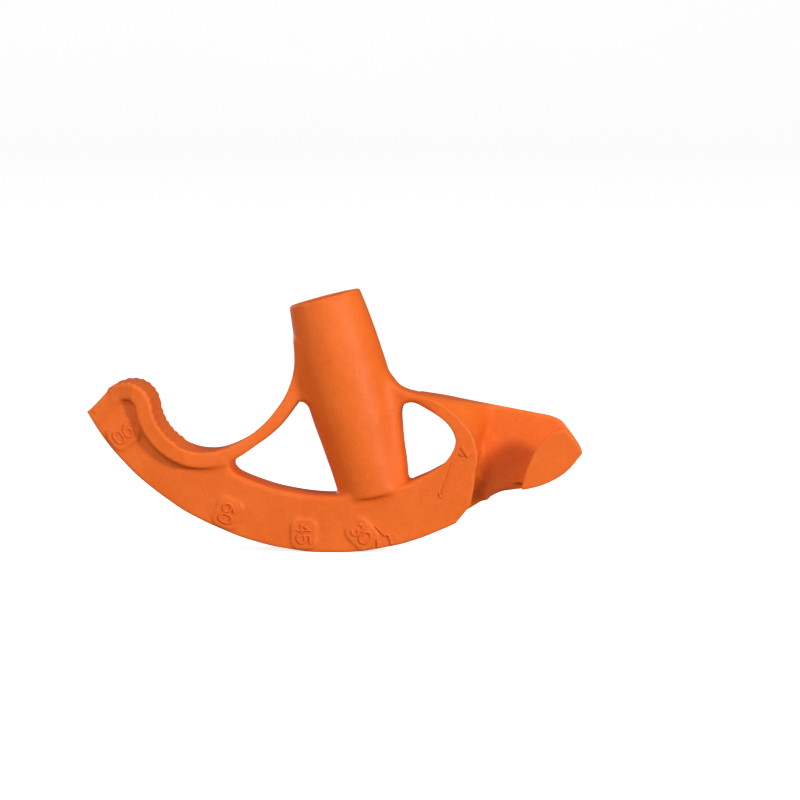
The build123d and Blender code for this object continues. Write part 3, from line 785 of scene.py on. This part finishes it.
# ---- the pieces
paint = paint_material()
casting = field_object("casting", casting_field(), VOXEL, lambda p: (low + VOXEL * p) * MM)
casting.data.materials.append(paint)
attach(casting, "head")
OTHER_NODES = [*SMALL_MARKS, "set_screw"]
CAST_NODES = [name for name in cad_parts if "numerals" not in name and name not in OTHER_NODES]
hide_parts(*CAST_NODES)

beads = []
for facing, prefix in ((-1, ""), (1, "far_")):
    for text, angle in MARK_ANGLES.items():
        origin, reading, top = flank_frame(MARK_R.get(text, PAD_R), angle, TEXT_TILT[text], facing)
        strokes = text_strokes(text)
        made = bead_object(f"cast_{prefix}{text}", strokes, origin, reading, top, facing, HALF_W + PAD_T)
        beads.append((made, f"{prefix}numerals_{text}"))
near_flank = ((0, 0), (1, 0), (0, 1), -1, HALF_W)
beads.append((bead_object("cast_arrow", ARROW_LINES, *near_flank), "start_arrow"))
beads.append((bead_object("cast_star", STAR_LINES, *near_flank), "star_mark"))
flank_arrow = bead_object("cast_flank_arrow", FLANK_ARROW_LINES, *near_flank, *FLANK_ARROW_BEAD)
beads.append((bead_object("cast_pointer", POINTER_LINES, *near_flank), "hook_pointer"))
for made, node in [*beads, (flank_arrow, None)]:
    made.data.materials.append(paint)
    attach(made, "head")
    if node:
        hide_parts(node)

screw = screw_object()
screw.data.materials.append(steel_material())
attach(screw, "set_screw")
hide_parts("set_screw")


# ---- stage, lights and camera
def sweep_object():
    """A round pale floor that curves up at its edge, as wide as a small studio."""
    bend = [around((SWEEP_R, SWEEP_BEND_R), SWEEP_BEND_R, angle) for angle in range(-80, 1, 10)]
    profile = [(SWEEP_R / 3, 0), (SWEEP_R, 0), *bend, (SWEEP_R + SWEEP_BEND_R, SWEEP_TOP)]
    turn = [2 * pi * i / SWEEP_SEGMENTS for i in range(SWEEP_SEGMENTS)]
    vertices = [(r * cos(t), r * sin(t), z) for r, z in profile for t in turn]
    faces = [tuple(range(SWEEP_SEGMENTS)), *ring_faces(len(profile), SWEEP_SEGMENTS)]
    mesh = bpy.data.meshes.new("sweep")
    mesh.from_pydata(vertices, [], faces)
    mesh.shade_smooth()
    return linked("sweep", mesh)


def area_light(name, place, size, power, colour):
    """A round soft light, turned to the object."""
    light = bpy.data.lights.new(name, "AREA")
    light.shape = "DISK"
    light.size = size
    light.energy = power
    light.color = colour
    made = linked(name, light)
    made.location = place
    made.rotation_euler = (Vector(LIT_POINT) - Vector(place)).to_track_quat("-Z", "Y").to_euler()


sweep = sweep_object()
sweep.data.materials.append(floor_material())

world = bpy.data.worlds.new("studio")
world.use_nodes = True
background = world.node_tree.nodes["Background"]
background.inputs["Color"].default_value = (1, 1, 1, 1)
background.inputs["Strength"].default_value = WORLD_STRENGTH
bpy.context.scene.world = world
bpy.context.scene.view_settings.view_transform = "Standard"

for name, settings in LIGHTS.items():
    area_light(name, *settings)

camera_data = bpy.data.cameras.new("camera")
camera_data.lens = LENS
camera_data.sensor_width = 36
camera = linked("camera", camera_data)
turn, rise = radians(AZIMUTH), radians(ELEVATION)
away = Vector((sin(turn) * cos(rise), -cos(turn) * cos(rise), sin(rise)))
camera.location = Vector(AIM) + away * DISTANCE
camera.rotation_euler = (-away).to_track_quat("-Z", "Y").to_euler()
camera_data.clip_start = 0.01
bpy.context.scene.camera = camera
